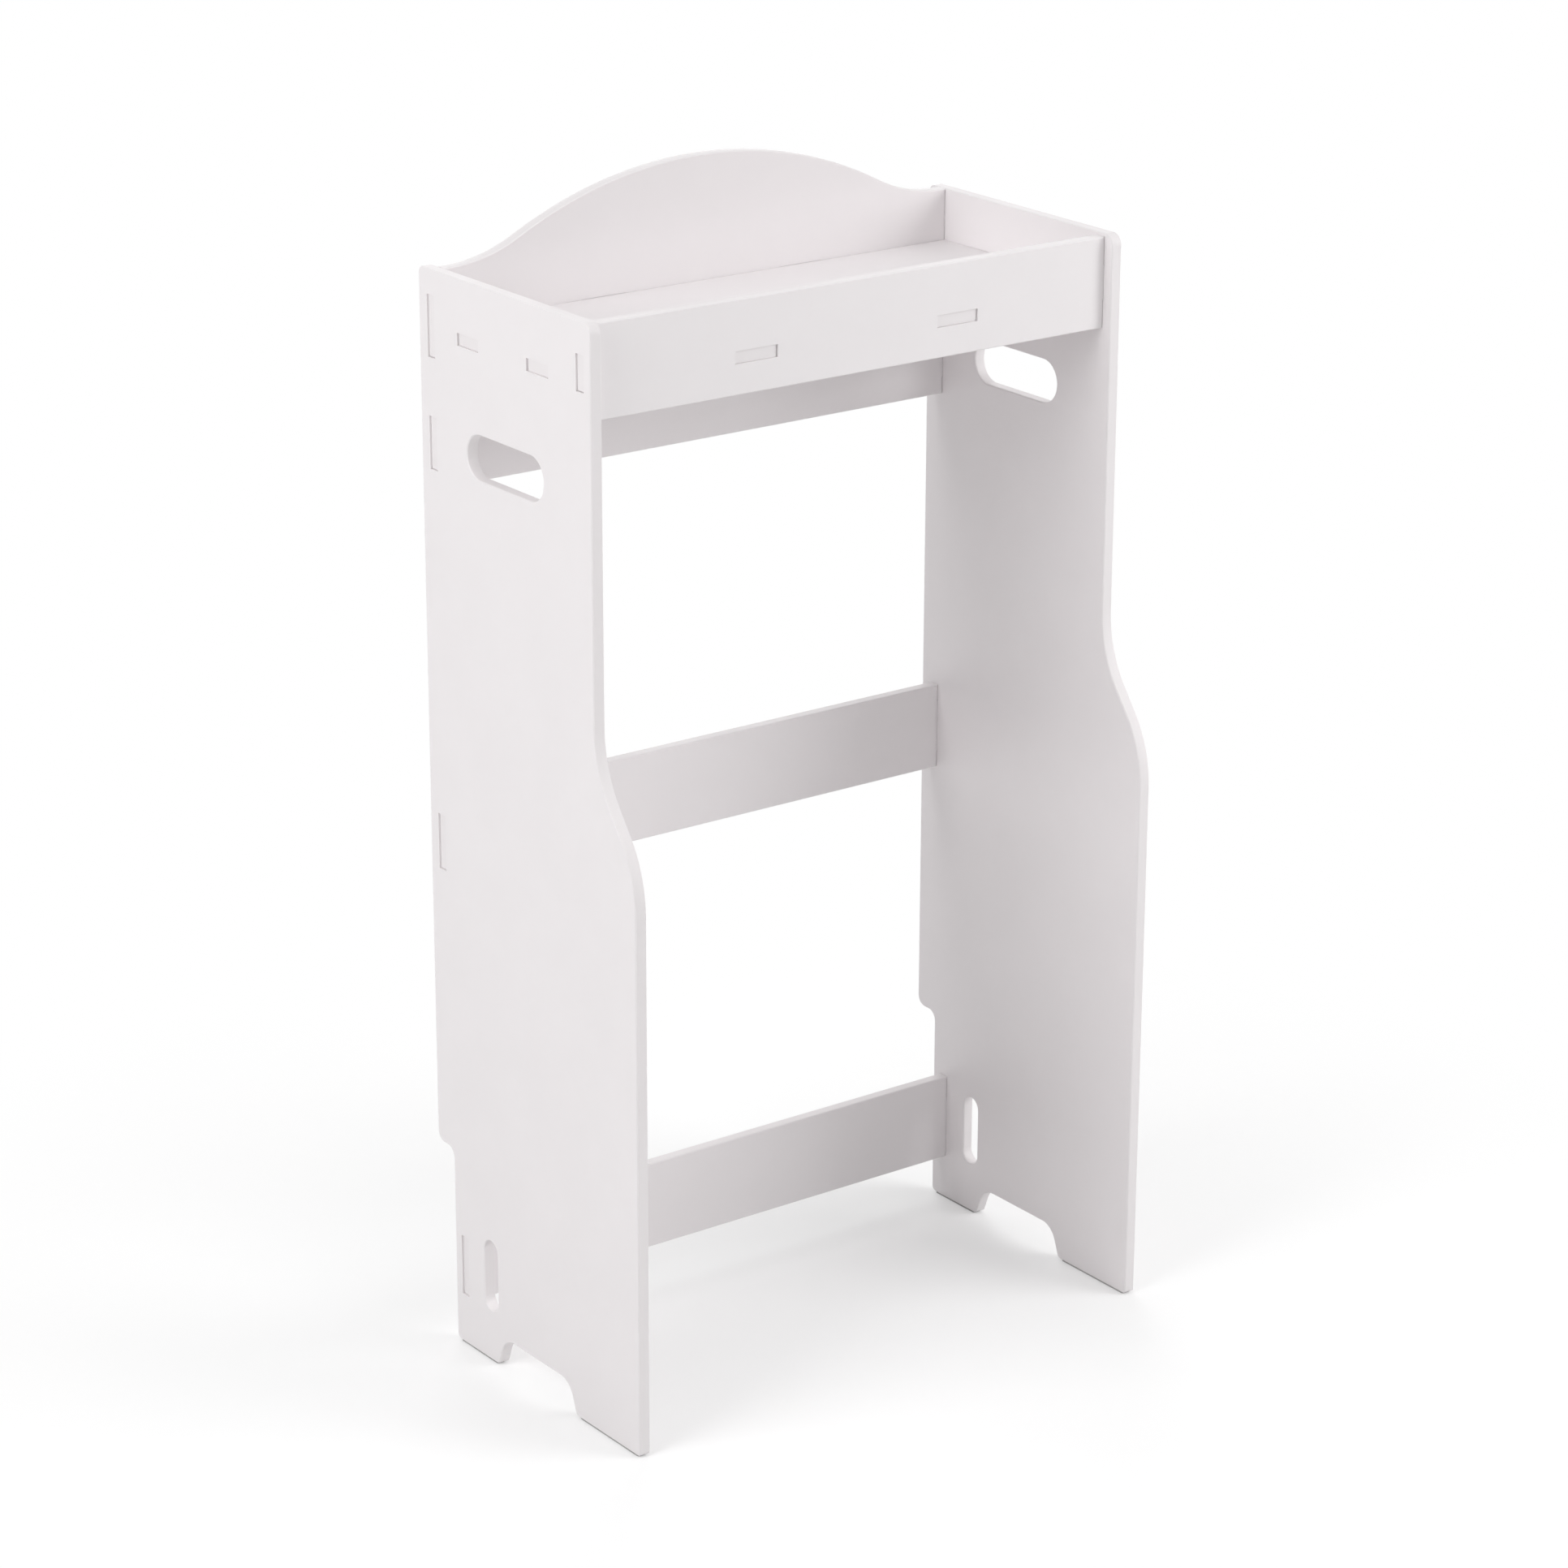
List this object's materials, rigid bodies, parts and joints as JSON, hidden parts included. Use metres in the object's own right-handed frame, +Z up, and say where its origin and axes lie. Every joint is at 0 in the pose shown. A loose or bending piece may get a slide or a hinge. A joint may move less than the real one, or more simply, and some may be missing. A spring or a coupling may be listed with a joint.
{
  "type": "over-toilet shelf unit",
  "caption": "Free-standing bathroom shelf unit that straddles a toilet: swept side boards carry a raised open tray and cross rails, joined by tabs in slots, on thin foot pads.",
  "frame": {"origin": "on the floor under the middle of the unit, at the bottom centre of its box", "axes": "+Z up, -Y towards the person in front of the unit, +Y towards the wall, +X to the right seen from the front"},
  "size_m": [0.508, 0.2866, 0.9604],
  "materials": {
    "white_board": "matte, cut from foamed board, edges softened",
    "foot_pad": "matte non-slip sheet"
  },
  "bodies": {
    "root": {"left_side_panel": "white_board", "right_side_panel": "white_board", "shelf_board": "white_board", "front_rail": "white_board", "back_panel": "white_board", "mid_rail": "white_board", "lower_rail": "white_board", "left_rear_foot_pad": "foot_pad", "left_front_foot_pad": "foot_pad", "right_rear_foot_pad": "foot_pad", "right_front_foot_pad": "foot_pad"}
  },
  "joints": []
}
